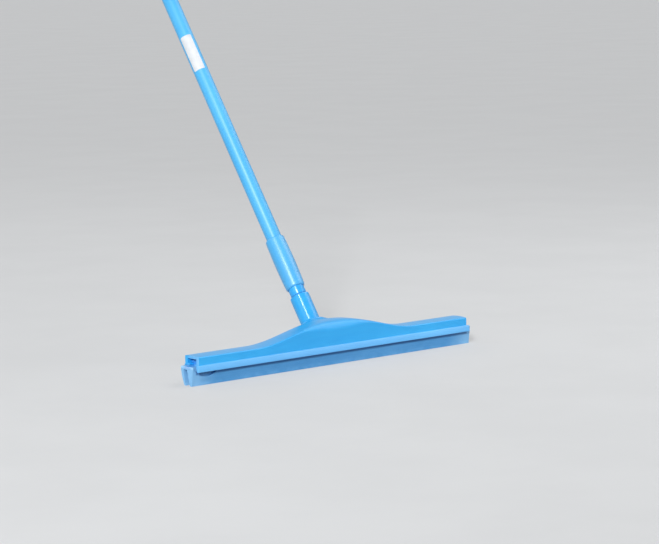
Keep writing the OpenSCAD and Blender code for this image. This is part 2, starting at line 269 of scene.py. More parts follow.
class Nodes:
    """A node tree in which one call adds a node and fills its sockets."""

    def __init__(self, tree):
        self.tree = tree

    def node(self, kind, settings, sockets, output=0):
        made = self.tree.nodes.new(kind)
        for name, value in settings.items():
            setattr(made, name, value)
        for name, value in sockets.items():
            if isinstance(value, Wire):
                self.tree.links.new(value.socket, made.inputs[name])
            else:
                made.inputs[name].default_value = value
        return Wire(self, made.outputs[output])

    def show(self, output, wire):
        """Links a shader to the tree's output node."""
        self.tree.links.new(wire.socket, self.tree.nodes[output].inputs["Surface"])

    def seen(self):
        """1 for what is seen directly, in a reflection or through glass; 0 for light thrown on others."""
        kinds = ("Is Camera Ray", "Is Glossy Ray", "Is Transmission Ray")
        first, second, third = (self.node("ShaderNodeLightPath", {}, {}, kind) for kind in kinds)
        return first.either(second).either(third)


class Finish(Nodes):
    """One material, with the nodes that give its pigment, gloss and grain."""

    def __init__(self, name, **constants):
        self.material = bpy.data.materials.new(name)
        self.material.use_nodes = True
        super().__init__(self.material.node_tree)
        self.shader = self.tree.nodes["Principled BSDF"]
        for socket, value in constants.items():
            self.shader.inputs[socket.replace("_", " ")].default_value = value

    def feed(self, socket, wire):
        self.tree.links.new(wire.socket, self.shader.inputs[socket])

    def place(self, along_handle=False, stretch=(1, 1, 1)):
        """Object coordinates, turned to the handle's axis where asked, then stretched."""
        point = self.node("ShaderNodeTexCoord", {}, {}, "Object")
        if along_handle:
            foot = AXIS_FOOT_Y * MM
            sockets = {
                "Vector": point,
                "Location": (0, -foot * cos(LEAN), -foot * sin(LEAN)),
                "Rotation": (LEAN, 0, 0),
            }
            point = self.node("ShaderNodeMapping", {"vector_type": "POINT"}, sockets)
        sockets = {"Vector": point, "Scale": stretch}
        return self.node("ShaderNodeMapping", {"vector_type": "POINT"}, sockets)

    def noise(self, place, scale, detail=2.0, rough=0.5):
        sockets = {"Vector": place, "Scale": scale, "Detail": detail, "Roughness": rough}
        return self.node("ShaderNodeTexNoise", {"noise_dimensions": "3D"}, sockets, "Fac")

    def axis(self, place, letter):
        return self.node("ShaderNodeSeparateXYZ", {}, {"Vector": place}, letter)

    def blend(self, share, first, second):
        """A colour between two others."""
        settings = {"data_type": "RGBA", "blend_type": "MIX"}
        return self.node("ShaderNodeMix", settings, {0: share, 6: first, 7: second}, 2)

    def grain(self, height, depth):
        """Bumps of a depth in millimetres."""
        self.feed("Normal", self.node("ShaderNodeBump", {}, {"Height": height, "Distance": depth * MM}))


def shade(red, green, blue):
    """A colour given in the 0 to 255 steps of a screen, as linear light."""
    steps = [value / 255 for value in (red, green, blue)]
    return (*[((s + 0.055) / 1.055) ** 2.4 if s > 0.04045 else s / 12.92 for s in steps], 1.0)


def skirt_and_end_light(finish):
    """Painted sheen: a paler colour standing in for light, whole on the skirts, more on the front of the
    bar's end faces, none between.
    """
    end_share = 1.15
    bar_end = FRAME_LEN / 2
    wall_foot = SKIRT_SHOULDER[-1][1]
    place = finish.place()
    across = finish.axis(place, "Y") - BAR_Y * MM
    outside = abs(across).step_mm(BAR_HALF + 0.1, BAR_HALF + 0.9)
    below = 1 - finish.axis(place, "Z").step_mm(wall_foot - 0.27, wall_foot + 0.53)
    ends = abs(finish.axis(place, "X")).step_mm(bar_end - 1.2, bar_end - 0.3)
    to_front = end_share - end_share * across.step_mm(2, 16)
    return (outside * below).either(ends * to_front)


def rail_end_light(finish):
    """Painted light: a paler colour on the cut ends of the rail's foot, beside the blade's, standing in for
    light falling on them.
    """
    end_share = 2.2
    foot_end = RAIL_LEN / 2 + RAIL_FOOT_PAST
    return end_share * abs(finish.axis(finish.place(), "X")).step_mm(foot_end - 1, foot_end - 0.2)


def neck_polish(finish):
    """0 on the bar, 1 on the neck."""
    return finish.axis(finish.place(along_handle=True), "Z").step_mm(NECK_FOOT - 1, NECK_FOOT + 9)


def moulded_plastic(name, dark, light, rough, along_handle=False, peel=0.06, peel_scale=420,
                    flow=(0.12, 1, 1), painted_sheen=None, polish=None, shine=0.5):
    """Pigmented plastic: slow clouds and flow lines in the colour, fine scuffs, a moulded skin, and where
    asked a painted sheen of paler colour.
    """
    finish = Finish(name, IOR=1.49, Specular_IOR_Level=shine)
    place = finish.place(along_handle)
    scuff_flow = (flow[0] * 0.5, flow[1], flow[2])
    cloud = finish.noise(place, scale=7, detail=3)
    lines = finish.noise(finish.place(along_handle, flow), scale=55, detail=4, rough=0.6)
    fine_lines = finish.noise(finish.place(along_handle, scuff_flow), scale=420, detail=5, rough=0.7)
    skin = finish.noise(place, scale=peel_scale, detail=3)
    scuff = fine_lines.step(0.62, 0.74) * cloud.step(0.45, 0.7)
    tone = 0.55 * cloud + 0.45 * lines
    colour = finish.blend(tone.step(0.3, 0.7), dark, light)
    pale = [0.55 * channel + 0.45 for channel in light[:3]] + [1]
    rub = 0.28 * scuff
    # Where asked, a painted sheen: colour drawn towards pale where light falls, added to the real scuffs.
    if painted_sheen:
        rub = rub + painted_sheen(finish) * (0.14 + 0.12 * lines)
    finish.feed("Base Color", finish.blend(rub, colour, pale))
    gloss = rough + 0.16 * (cloud - 0.5) + 0.14 * scuff + 0.08 * (skin - 0.5)
    if polish:
        gloss = gloss - 0.13 * polish(finish)
    finish.feed("Roughness", gloss)
    finish.grain(skin + 0.25 * lines, peel)
    return finish.material


def blade_rubber():
    """Pale soft rubber: mottled and chalky at the wiping edges, with its ends painted paler where light
    falls and a painted shadow under the skirt.
    """
    blade_end = BLADE_LEN / 2
    skirt_end = FRAME_LEN / 2 + SKIRT_PAST
    finish = Finish("blade_rubber", IOR=1.5, Specular_IOR_Level=0.4)
    place = finish.place()
    along = abs(finish.axis(place, "X"))
    across = finish.axis(place, "Y")
    height = finish.axis(place, "Z")
    cloud = finish.noise(place, scale=11, detail=4, rough=0.6)
    speck = finish.noise(place, scale=900)
    drawn = finish.noise(finish.place(stretch=(0.03, 1, 1)), scale=300, detail=3)
    tone = 0.6 * cloud + 0.25 * drawn + 0.15 * speck
    colour = finish.blend(tone.step(0.32, 0.68), shade(70, 143, 200), shade(84, 155, 210))
    worn = 1 - height.step_mm(1, 12)
    chalk = worn * finish.noise(place, scale=60, detail=3).step(0.35, 0.7)
    # Painted light: the ends, and the top rim at each end, are painted paler where light from the left
    # falls; the chalk at the wiping edges is real wear.
    end = along.step_mm(blade_end - 65, blade_end + 2)
    rim = along.step_mm(blade_end - 1.5, blade_end - 0.5) * height.step_mm(31, 33.5)
    chalk_and_end_light = 0.14 * chalk + end * (0.3 + 0.3 * cloud) + 0.4 * rim
    colour = finish.blend(chalk_and_end_light, colour, shade(158, 208, 244))
    # Painted shadow: a dark navy band on the front lip just below the skirt, where the skirt's shadow
    # falls, stopping at the skirt's end.
    under_skirt = height.step_mm(18.5, 23.2) * (1 - height.step_mm(26, 29))
    in_front = 1 - across.step_mm(-1.5, 1)
    covered = 1 - along.step_mm(skirt_end - 2.5, skirt_end + 0.5)
    painted_shadow = under_skirt * in_front * covered * (0.52 + 0.35 * cloud)
    finish.feed("Base Color", finish.blend(painted_shadow, colour, shade(10, 76, 144)))
    finish.feed("Roughness", 0.52 + 0.14 * (cloud - 0.5) + 0.14 * chalk + 0.06 * (speck - 0.5))
    finish.grain(0.6 * speck + 0.4 * drawn, 0.08)
    return finish.material


def seal_rubber():
    """Soft blue rubber with a fine speckle."""
    finish = Finish("seal_rubber", IOR=1.5)
    place = finish.place(along_handle=True)
    cloud = finish.noise(place, scale=60, detail=3)
    speck = finish.noise(place, scale=1500)
    colour = finish.blend(cloud.step(0.3, 0.7), shade(38, 112, 186), shade(52, 128, 202))
    finish.feed("Base Color", colour)
    finish.feed("Roughness", 0.55 + 0.15 * (speck - 0.5))
    finish.grain(speck, 0.04)
    return finish.material


def tube_coat():
    """Blue coated tube: an orange-peel skin, draw lines along it and a few streaks worn by rubbing."""
    finish = Finish("tube_coat", IOR=1.5)
    place = finish.place(along_handle=True)
    draw_place = finish.place(True, stretch=(1, 1, 0.012))
    streak_place = finish.place(True, stretch=(1, 1, 0.06))
    cloud = finish.noise(place, scale=6, detail=3)
    draw = finish.noise(draw_place, scale=260, detail=3, rough=0.6)
    peel = finish.noise(place, scale=520)
    streak = finish.noise(streak_place, scale=210, detail=5, rough=0.75)
    rub = streak.step(0.63, 0.75) * finish.noise(place, scale=9).step(0.5, 0.66)
    tone = 0.6 * cloud + 0.4 * draw
    colour = finish.blend(tone.step(0.3, 0.7), shade(66, 164, 220), shade(82, 176, 230))
    finish.feed("Base Color", finish.blend(0.3 * rub, colour, shade(176, 216, 246)))
    finish.feed("Roughness", 0.42 + 0.12 * (cloud - 0.5) + 0.12 * rub + 0.08 * (peel - 0.5))
    finish.grain(0.8 * peel + 0.2 * draw, 0.05)
    return finish.material


def label_film():
    """Bare white film: paper-fine tooth, slight greying and a few soft creases."""
    finish = Finish("label_film", IOR=1.46)
    place = finish.place(along_handle=True)
    folds = finish.noise(finish.place(True, stretch=(1, 1, 0.35)), scale=45)
    cloud = finish.noise(place, scale=38, detail=4)
    tooth = finish.noise(place, scale=2400)
    flat = abs(folds - 0.5).step(0.0, 0.03)
    colour = finish.blend(cloud.step(0.35, 0.7), shade(214, 217, 221), shade(204, 208, 212))
    finish.feed("Base Color", finish.blend(0.25 * (1 - flat), colour, shade(196, 200, 202)))
    finish.feed("Roughness", 0.42 + 0.16 * (cloud - 0.5) + 0.08 * (tooth - 0.5))
    finish.grain(0.5 * tooth + 0.5 * flat, 0.03)
    return finish.material


def floor_finish():
    """Plain pale floor, slightly uneven; to the eye it is paler than the light it throws back."""
    finish = Finish("pale_floor", Specular_IOR_Level=0.2)
    tone = finish.noise(finish.place(), scale=3, detail=5, rough=0.6)
    pale = (0.54, 0.55, 0.56, 1)
    paler = (0.58, 0.59, 0.60, 1)
    glow = finish.node("ShaderNodeEmission", {}, {"Color": (0.88, 0.89, 0.90, 1), "Strength": 1.0})
    lit = Wire(finish, finish.shader.outputs[0])
    finish.feed("Base Color", finish.blend(tone.step(0.3, 0.7), pale, paler))
    finish.feed("Roughness", 0.7 + 0.15 * (tone - 0.5))
    mixed = finish.node("ShaderNodeMixShader", {}, {0: 0.4 * finish.seen(), 1: lit, 2: glow})
    finish.show("Material Output", mixed)
    return finish.material


# Outlines and profiles


def mirrored(points):
    """The same [y, z] points on the other side of the bar's middle plane."""
    return [(-y, z) for y, z in points]


def quarter(steps):
    """Angles of a quarter turn in equal steps, both ends among them."""
    return [pi / 2 * i / steps for i in range(steps + 1)]


def pipe(bore, radius, low, high):
    """Profile of a plain ring or tube."""
    return [(bore, low), (radius, low), (radius, high), (bore, high)]


def lower_edge(radius, height, wide, tall, steps):
    """Profile points that round an edge, from an end face at a height up on to the side."""
    return [(radius - wide * (1 - sin(t)), height + tall * (1 - cos(t))) for t in quarter(steps)]


def upper_edge(radius, height, r, steps):
    """Profile points that round an edge, from the side up on to an end face at a height."""
    return [(radius - r * (1 - cos(t)), height - r * (1 - sin(t))) for t in quarter(steps)]


# Mesh helpers


def soften(bm, width, segments=3, angle=30, where=None):
    """Rounds the edges that are sharper than an angle."""
    sharp = [e for e in bm.edges if len(e.link_faces) == 2 and e.calc_face_angle() > radians(angle)]
    sharp = [e for e in sharp if where is None or where(e)]
    bmesh.ops.bevel(
        bm, geom=sharp, offset=width, offset_type="OFFSET", segments=segments,
        profile=0.5, affect="EDGES", clamp_overlap=True, material=-1,
    )


def tidy(bm):
    """Merges doubles and turns all faces outwards."""
    bmesh.ops.remove_doubles(bm, verts=bm.verts, dist=MERGE)
    bmesh.ops.recalc_face_normals(bm, faces=bm.faces)
    return bm


def pushed_out(bm, geom, way):
    """Extrudes faces and moves the new ones."""
    drawn = bmesh.ops.extrude_face_region(bm, geom=geom)["geom"]
    moved = [item for item in drawn if isinstance(item, bmesh.types.BMVert)]
    bmesh.ops.translate(bm, verts=moved, vec=way)


def turned(profile, closed=True):
    """A profile of [radius, height] points spun round the handle's axis."""
    bm = bmesh.new()
    verts = [bm.verts.new((radius, 0, height)) for radius, height in profile]
    ends = verts[1:] + verts[:1] if closed else verts[1:]
    edges = [bm.edges.new(pair) for pair in zip(verts, ends)]
    bmesh.ops.spin(
        bm, geom=verts + edges, cent=(0, 0, 0), axis=(0, 0, 1), dvec=(0, 0, 0),
        angle=2 * pi, steps=TURN_STEPS, use_merge=True,
    )
    return tidy(bm)


def drawn_out(outline, length):
    """An outline of [y, z] points drawn out along the blade, about the middle."""
    bm = bmesh.new()
    face = bm.faces.new([bm.verts.new((-length / 2, y, z)) for y, z in outline])
    pushed_out(bm, [face], (length, 0, 0))
    return tidy(bm)


def run_on(bm, end, roots, reach, pick):
    """At both ends, splits the end face between two of its corners and draws one part further out."""
    for side in (-1, 1):
        corners = [Vector((side * end, y, z)) for y, z in roots]
        split = [min(bm.verts, key=lambda v: (v.co - corner).length) for corner in corners]
        face = next(f for f in split[0].link_faces if split[1] in f.verts)
        made = bmesh.utils.face_split(face, *split)[0]
        part = max((face, made), key=pick)
        pushed_out(bm, [part, *part.edges, *part.verts], (side * reach, 0, 0))


def on_bar(bm):
    """Moves a shape drawn about the bar's middle plane to the bar."""
    bmesh.ops.translate(bm, verts=bm.verts, vec=(0, BAR_Y, 0))
    return bm


def screw_ridge(profile, low, high):
    """A ridge of [radius, height] points wound round the axis from one height to another."""
    turns = (high - low) / THREAD_LEAD
    steps = round(turns * THREAD_STEPS)
    start = 2 * pi * low / THREAD_LEAD
    bm = bmesh.new()
    verts = [bm.verts.new((r * cos(start), r * sin(start), low + h)) for r, h in profile]
    edges = [bm.edges.new(pair) for pair in zip(verts, verts[1:] + verts[:1])]
    bmesh.ops.spin(
        bm, geom=verts + edges, cent=(0, 0, 0), axis=(0, 0, 1),
        dvec=(0, 0, (high - low) / steps), angle=2 * pi * turns, steps=steps, use_merge=False,
    )
    bmesh.ops.holes_fill(bm, edges=[e for e in bm.edges if len(e.link_faces) == 1], sides=0)
    return tidy(bm)


def joined(first, second, operation):
    """Two shapes made one, or the second cut out of the first."""
    works = []
    for shape in (first, second):
        mesh = bpy.data.meshes.new("work")
        shape.to_mesh(mesh)
        shape.free()
        works.append(bpy.data.objects.new("work", mesh))
        scene.collection.objects.link(works[-1])
    boolean = works[0].modifiers.new("join", "BOOLEAN")
    boolean.operation = operation
    boolean.solver = "EXACT"
    boolean.object = works[1]
    result = bmesh.new()
    result.from_object(works[0], bpy.context.evaluated_depsgraph_get())
    for work in works:
        mesh = work.data
        bpy.data.objects.remove(work)
        bpy.data.meshes.remove(mesh)
    return result


def finished(name, bm, body, material, nodes, crease=35, on_handle=False):
    """Puts a shape in its place and hands it over as a piece."""
    if on_handle:
        bmesh.ops.transform(bm, matrix=TO_HANDLE, verts=bm.verts)
    bmesh.ops.scale(bm, vec=(MM, MM, MM), verts=bm.verts)
    for face in bm.faces:
        face.smooth = True
    for edge in bm.edges:
        edge.smooth = edge.calc_face_angle(0) < radians(crease)
    mesh = bpy.data.meshes.new(name)
    bm.to_mesh(mesh)
    bm.free()
    mesh.materials.append(material)
    piece = bpy.data.objects.new(name, mesh)
    scene.collection.objects.link(piece)
    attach(piece, body)
    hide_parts(*nodes)


# The frame: bar, hump, skirts, gusset, neck and socket


def hump_share(x, across=1):
    """Share of the hump's height at a place along the bar; across runs from front to rear."""
    if abs(x) >= HUMP_HALF:
        return 0
    swell = (1 + cos(pi * x / HUMP_HALF)) / 2
    return 1 - (1 - swell) ** (FRONT_FULLNESS + (REAR_FULLNESS - FRONT_FULLNESS) * across)


def top_height(x, y):
    """Height of the top at a place along and across the bar."""
    across = (y + BAR_HALF) / (2 * BAR_HALF)
    share = hump_share(x, across)
    plain = BAR_EDGE + CROWN_RISE * (1 - (2 * across - 1) ** 2)
    rise = sin(pi / 2 * min(1, across * 2 * BAR_HALF / CREST_AT))
    hump = BAR_EDGE + HUMP_FRONT_RISE + (HUMP_RISE - HUMP_FRONT_RISE) * rise
    return (1 - share) * plain + share * hump


def top_line(x):
    """The top's outline at a place along the bar, from the front wall over to the rear one."""
    share = hump_share(x)
    front_r = FRONT_EDGE_R + (HUMP_FRONT_R - FRONT_EDGE_R) * share**ROUND_LATE
    rear_r = REAR_EDGE_R + (HUMP_REAR_R - REAR_EDGE_R) * share

    def corner(side, radius, i):
        t = i / CORNER_STEPS
        edge = side * BAR_HALF
        inner = edge - side * radius
        wall = top_height(x, edge) - radius
        y = (1 - t) ** 2 * edge + 2 * t * (1 - t) * edge + t * t * inner
        z = (1 - t) ** 2 * wall + 2 * t * (1 - t) * (wall + radius) + t * t * top_height(x, inner)
        return y, z

    line = [corner(-1, front_r, i) for i in range(CORNER_STEPS + 1)]
    span = 2 * BAR_HALF - front_r - rear_r
    for i in range(1, ACROSS_STEPS):
        y = front_r - BAR_HALF + span * i / ACROSS_STEPS
        line.append((y, top_height(x, y)))
    return line + [corner(1, rear_r, i) for i in range(CORNER_STEPS, -1, -1)]


def bar_with_hump():
    """The bar's section drawn out, its front skirt run on, and its top raised into the hump."""
    skirt = [
        (SKIRT_OUT - SKIRT_T, BAR_FOOT),
        (SKIRT_FOOT_OUT - SKIRT_T, SKIRT_FOOT),
        (SKIRT_FOOT_OUT - SKIRT_FOOT_R, SKIRT_FOOT),
        (SKIRT_FOOT_OUT, SKIRT_FOOT + SKIRT_FOOT_R),
        *SKIRT_SHOULDER,
    ]
    under = [
        (SLOT_HALF, BAR_FOOT),
        (SLOT_HALF, CHANNEL_FLOOR),
        (CHANNEL_HALF, CHANNEL_FLOOR),
        (CHANNEL_HALF, CHANNEL_TOP),
    ]
    plain = top_line(FRAME_LEN)
    bm = drawn_out(mirrored(under[::-1] + skirt) + plain + skirt[::-1] + under, FRAME_LEN)
    roots = mirrored([skirt[0], skirt[-1]])
    run_on(bm, FRAME_LEN / 2, roots, SKIRT_PAST, lambda part: -part.calc_center_median().y)

    def crosswise_or_sharp(edge):
        first, second = (v.co for v in edge.verts)
        return abs(first.x - second.x) < 0.01 or edge.calc_face_angle() > radians(25)

    soften(bm, MOULD_EDGE, segments=2, angle=12, where=crosswise_or_sharp)
    lengthwise = [e for e in bm.edges if e.calc_length() > FRAME_LEN * 0.9]
    bmesh.ops.subdivide_edges(bm, edges=lengthwise, cuts=BAR_STATIONS, use_grid_fill=True)
    index = {(round(y, 3), round(z, 3)): i for i, (y, z) in enumerate(plain)}
    lines = {}
    for v in bm.verts:
        i = index.get((round(v.co.y, 3), round(v.co.z, 3)))
        if i is not None and abs(v.co.x) < HUMP_HALF:
            line = lines.setdefault(round(v.co.x, 3), top_line(v.co.x))
            v.co.y, v.co.z = line[i]
    return tidy(on_bar(bm))


def neck_with_gusset():
    """A tube bent through rings: wide and square at the hump, then round, with a rim and a socket."""
    rings = []

    def ring(centre, along, wide, high, square):
        rings.append((centre, Vector((0, -along.z, along.y)), wide, high, square))

    def round_ring(radius, height):
        ring(TO_HANDLE @ Vector((0, 0, height)), AXIS, radius, radius, 2)

    flare_r = NECK_R + NECK_FILLET
    root = Vector((0, BAR_Y + GUSSET_ROOT_IN, GUSSET_ROOT_Z))
    top = TO_HANDLE @ Vector((0, 0, NECK_FOOT - SUPPORT))
    bend = Vector((0, top.y - (top.z - root.z) * tan(LEAN), root.z))
    for i in range(GUSSET_STEPS):
        t = i / GUSSET_STEPS
        centre = (1 - t) ** 2 * root + 2 * t * (1 - t) * bend + t * t * top
        along = (1 - t) * (bend - root) + t * (top - bend)
        wide = GUSSET_HALF + (flare_r - GUSSET_HALF) * (1 - (1 - t) ** GUSSET_FLARE)
        high = GUSSET_ROOT_HIGH + (flare_r - GUSSET_ROOT_HIGH) * t
        ring(centre, along.normalized(), wide, high, GUSSET_SQUARE + (2 - GUSSET_SQUARE) * t)
    round_ring(flare_r, NECK_FOOT - SUPPORT)
    for turn in quarter(FILLET_STEPS):
        round_ring(flare_r - NECK_FILLET * sin(turn), NECK_FOOT + NECK_FILLET * (1 - cos(turn)))
    round_ring(NECK_R, NECK_FOOT + NECK_FILLET + SUPPORT)
    round_ring(NECK_R, NECK_RIM - RIM_R - SUPPORT)
    for radius, height in upper_edge(NECK_R, NECK_RIM, RIM_R, RIM_STEPS):
        round_ring(radius, height)
    round_ring(SOCKET_R + SOCKET_CHAMFER, NECK_RIM)
    round_ring(SOCKET_R, NECK_RIM - SOCKET_CHAMFER)
    round_ring(SOCKET_R, SOCKET_FLOOR)

    gaps = len(rings) - 1
    bm = bmesh.new()
    bmesh.ops.create_cone(bm, cap_ends=True, segments=TURN_STEPS, radius1=1, radius2=1, depth=gaps)
    lengthwise = [e for e in bm.edges if e.verts[0].co.z * e.verts[1].co.z < 0]
    bmesh.ops.subdivide_edges(bm, edges=lengthwise, cuts=gaps - 1, use_grid_fill=True)
    for v in bm.verts:
        centre, up, wide, high, square = rings[round(v.co.z + gaps / 2)]
        x, h = v.co.x, v.co.y
        reach = (abs(x) ** square + abs(h) ** square) ** (-1 / square)
        v.co = centre + Vector((x * reach * wide, 0, 0)) + up * (h * reach * high)
    return tidy(bm)


def socket_thread():
    """The ridge in the socket, between the turns of the plug's ridge."""
    crest = THREAD_CORE_R + THREAD_GAP
    root = SOCKET_R + SOCKET_RIDGE_SUNK
    at_crest = THREAD_LEAD / 2 - RIDGE_ROOT - THREAD_GAP
    at_root = THREAD_LEAD / 2 - RIDGE_CREST - THREAD_GAP
    low = SPIGOT_LOW + THREAD_START + THREAD_LEAD / 2
    profile = [(root, -at_root), (crest, -at_crest), (crest, at_crest), (root, at_root)]
    bm = screw_ridge(profile, low, NECK_RIM - at_root - SOCKET_CHAMFER)
    bmesh.ops.rotate(bm, cent=(0, 0, 0), matrix=Matrix.Rotation(pi, 3, "Z"), verts=bm.verts)
    return bm


# The cassette: rail and blade


def rail_shape():
    """The rail's section drawn out, with its foot run on towards the blade's ends."""
    half = [
        (RAIL_FOOT_HALF, RAIL_FOOT_LOW),
        (RAIL_FOOT_HALF, RAIL_FOOT_TOP),
        (RAIL_NECK_HALF, RAIL_FOOT_TOP),
        (RAIL_NECK_HALF, BLADE_TOP),
        (RAIL_STEM_HALF, BLADE_TOP),
        (RAIL_STEM_HALF, RAIL_HEAD_LOW),
        (RAIL_HEAD_HALF, RAIL_HEAD_LOW),
        (RAIL_HEAD_HALF, RAIL_HEAD_TOP),
    ]
    bm = drawn_out(half + mirrored(half[::-1]), RAIL_LEN)
    roots = [(RAIL_NECK_HALF, BLADE_TOP), (-RAIL_NECK_HALF, BLADE_TOP)]
    run_on(bm, RAIL_LEN / 2, roots, RAIL_FOOT_PAST, lambda part: -part.calc_center_median().z)
    soften(bm, RAIL_EDGE, segments=2)
    return tidy(on_bar(bm))


def blade_outline():
    """The blade's section: shoulders, front lip, web, rear lip, and the slot for the rail's foot."""
    r = BLADE_CORNER_R
    arc = [(r * sin(t), r * cos(t)) for t in quarter(BLADE_CORNER_STEPS)]
    shoulder = [(BLADE_HALF - r + a, BLADE_TOP - r + b) for a, b in arc]
    front_foot = FRONT_LIP_RAKE - BLADE_HALF
    front_inside = FRONT_LIP_ROOT - BLADE_HALF
    rear_inside = BLADE_HALF - REAR_LIP_ROOT
    rear_foot = BLADE_HALF - REAR_LIP_RAKE - REAR_LIP_TIP
    web = [(front_inside + r - a, WEB_LOW - r + b) for a, b in arc[::-1]]
    web += [(rear_inside - r + a, WEB_LOW - r + b) for a, b in arc[:-1]]

    def bent(root, foot, high, i):
        down = i / REAR_LIP_STEPS
        return root - (root - foot) * down**REAR_LIP_CURVE, high * (1 - down)

    steps = range(REAR_LIP_STEPS + 1)
    inner = [bent(rear_inside, rear_foot, WEB_LOW - r, i) for i in steps]
    outer = [bent(BLADE_HALF, rear_foot + REAR_LIP_TIP, BLADE_TOP - r, i) for i in steps]
    slot = [
        (RAIL_NECK_HALF + RAIL_GAP, BLADE_TOP),
        (RAIL_NECK_HALF + RAIL_GAP, RAIL_FOOT_TOP + RAIL_GAP),
        (RAIL_FOOT_HALF + RAIL_GAP, RAIL_FOOT_TOP + RAIL_GAP),
        (RAIL_FOOT_HALF + RAIL_GAP, RAIL_FOOT_LOW - RAIL_GAP),
    ]
    front = mirrored(shoulder) + [(front_foot, 0), (front_foot + FRONT_LIP_TIP, 0)]
    return front + web + inner + outer[::-1] + shoulder[-2::-1] + slot + mirrored(slot[::-1])


def blade_shape():
    """The blade's section drawn out, with the thumb notch cut into its front."""
    bm = drawn_out(blade_outline(), BLADE_LEN)
    soften(bm, BLADE_EDGE, segments=2, angle=40)
    notch = bmesh.new()
    notch_at = Matrix.Translation((NOTCH_X, NOTCH_BACK - NOTCH_CUT / 2, NOTCH_Z))
    bmesh.ops.create_cone(
        notch, cap_ends=True, segments=NOTCH_STEPS, radius1=NOTCH_R, radius2=NOTCH_R, depth=NOTCH_CUT,
        matrix=notch_at @ Matrix.Rotation(pi / 2, 4, "X"),
    )
    bm = joined(bm, notch, "DIFFERENCE")

    def round_notch(edge):
        middle = (edge.verts[0].co + edge.verts[1].co) / 2
        near = abs(middle.x - NOTCH_X) < NOTCH_REACH and middle.y < NOTCH_BACK - 1
        return near and middle.z < WEB_LOW - 0.2 and edge.calc_length() < NOTCH_REACH / 2

    soften(bm, NOTCH_EDGE, segments=2, angle=40, where=round_notch)
    return on_bar(bm)


# The handle


def seal_shape():
    """The washer between the neck's rim and the plug's collar."""
    bm = turned(pipe(SEAL_BORE_R, SEAL_R, SEAL_LOW, SEAL_TOP))
    soften(bm, SEAL_EDGE)
    return bm


def plug_shape():
    """Screw spigot, collar, and the plug that sits in the tube."""
    plug_top = TUBE_LOW + PLUG_LEN
    profile = [
        (0, SPIGOT_LOW),
        (THREAD_CORE_R - SPIGOT_TIP, SPIGOT_LOW),
        (THREAD_CORE_R, SPIGOT_LOW + SPIGOT_TIP),
        (THREAD_CORE_R, COLLAR_LOW),
        *lower_edge(COLLAR_R, COLLAR_LOW, COLLAR_EDGE, COLLAR_EDGE, SMALL_EDGE_STEPS),
        (COLLAR_R, TUBE_LOW),
        (PLUG_R, TUBE_LOW),
        (PLUG_R, plug_top - PLUG_TIP),
        (PLUG_R - PLUG_TIP, plug_top),
        (0, plug_top),
    ]
    sunk = THREAD_CORE_R - PLUG_RIDGE_SUNK
    crest = THREAD_CORE_R + THREAD_H
    ridge = [(sunk, -RIDGE_ROOT), (crest, -RIDGE_CREST), (crest, RIDGE_CREST), (sunk, RIDGE_ROOT)]
    thread = screw_ridge(ridge, SPIGOT_LOW + THREAD_START, COLLAR_LOW - THREAD_H - THREAD_GAP)
    return joined(turned(profile, closed=False), thread, "UNION")


def sleeve_shape():
    """A barrel with a long round shoulder below, which laps the collar and sits on the tube."""
    lap_bore = COLLAR_R + SNUG
    bore = TUBE_R + SNUG
    low = SLEEVE_LOW + SLEEVE_SHOULDER
    high = SLEEVE_TOP - SLEEVE_TOP_R
    shoulder = SLEEVE_END_R - lap_bore - SLEEVE_LIP
    profile = [(lap_bore, SLEEVE_LOW)]
    profile += lower_edge(SLEEVE_END_R, SLEEVE_LOW, shoulder, SLEEVE_SHOULDER, SLEEVE_SHOULDER_STEPS)
    for i in range(1, SLEEVE_BULGE_STEPS):
        share = i / SLEEVE_BULGE_STEPS
        profile.append((SLEEVE_END_R + SLEEVE_BULGE * sin(pi * share), low + (high - low) * share))
    profile += upper_edge(SLEEVE_END_R, SLEEVE_TOP, SLEEVE_TOP_R, EDGE_STEPS)
    profile += [(bore, SLEEVE_TOP), (bore, TUBE_LOW), (lap_bore, TUBE_LOW)]
    return turned(profile)


def tube_shape():
    """The plain tube, its ends a little rounded."""
    bm = turned(pipe(TUBE_BORE_R, TUBE_R, TUBE_LOW, TUBE_TOP))
    soften(bm, TUBE_EDGE, segments=2)
    return bm


def label_shape():
    """A flat label with round corners, bent round the tube."""
    bm = bmesh.new()
    half = LABEL_W / 2
    corners = [(-half, 0), (half, 0), (half, LABEL_LEN), (-half, LABEL_LEN)]
    bm.faces.new([bm.verts.new((x, 0, LABEL_LOW + z)) for x, z in corners])
    bmesh.ops.bevel(
        bm, geom=bm.verts[:], offset=LABEL_CORNER_R, offset_type="OFFSET", segments=LABEL_CORNER_STEPS,
        profile=0.5, affect="VERTICES", clamp_overlap=True, material=-1,
    )
    for i in range(1, LABEL_SLICES):
        geom = bm.verts[:] + bm.edges[:] + bm.faces[:]
        slice_at = (LABEL_W * i / LABEL_SLICES - half, 0, 0)
        bmesh.ops.bisect_plane(bm, geom=geom, plane_co=slice_at, plane_no=(1, 0, 0))
    pushed_out(bm, bm.faces[:], (0, LABEL_T, 0))
    for v in bm.verts:
        angle = LABEL_TURN + v.co.x / TUBE_R
        radius = LABEL_R + v.co.y
        v.co.x = radius * cos(angle)
        v.co.y = radius * sin(angle)
    return tidy(bm)


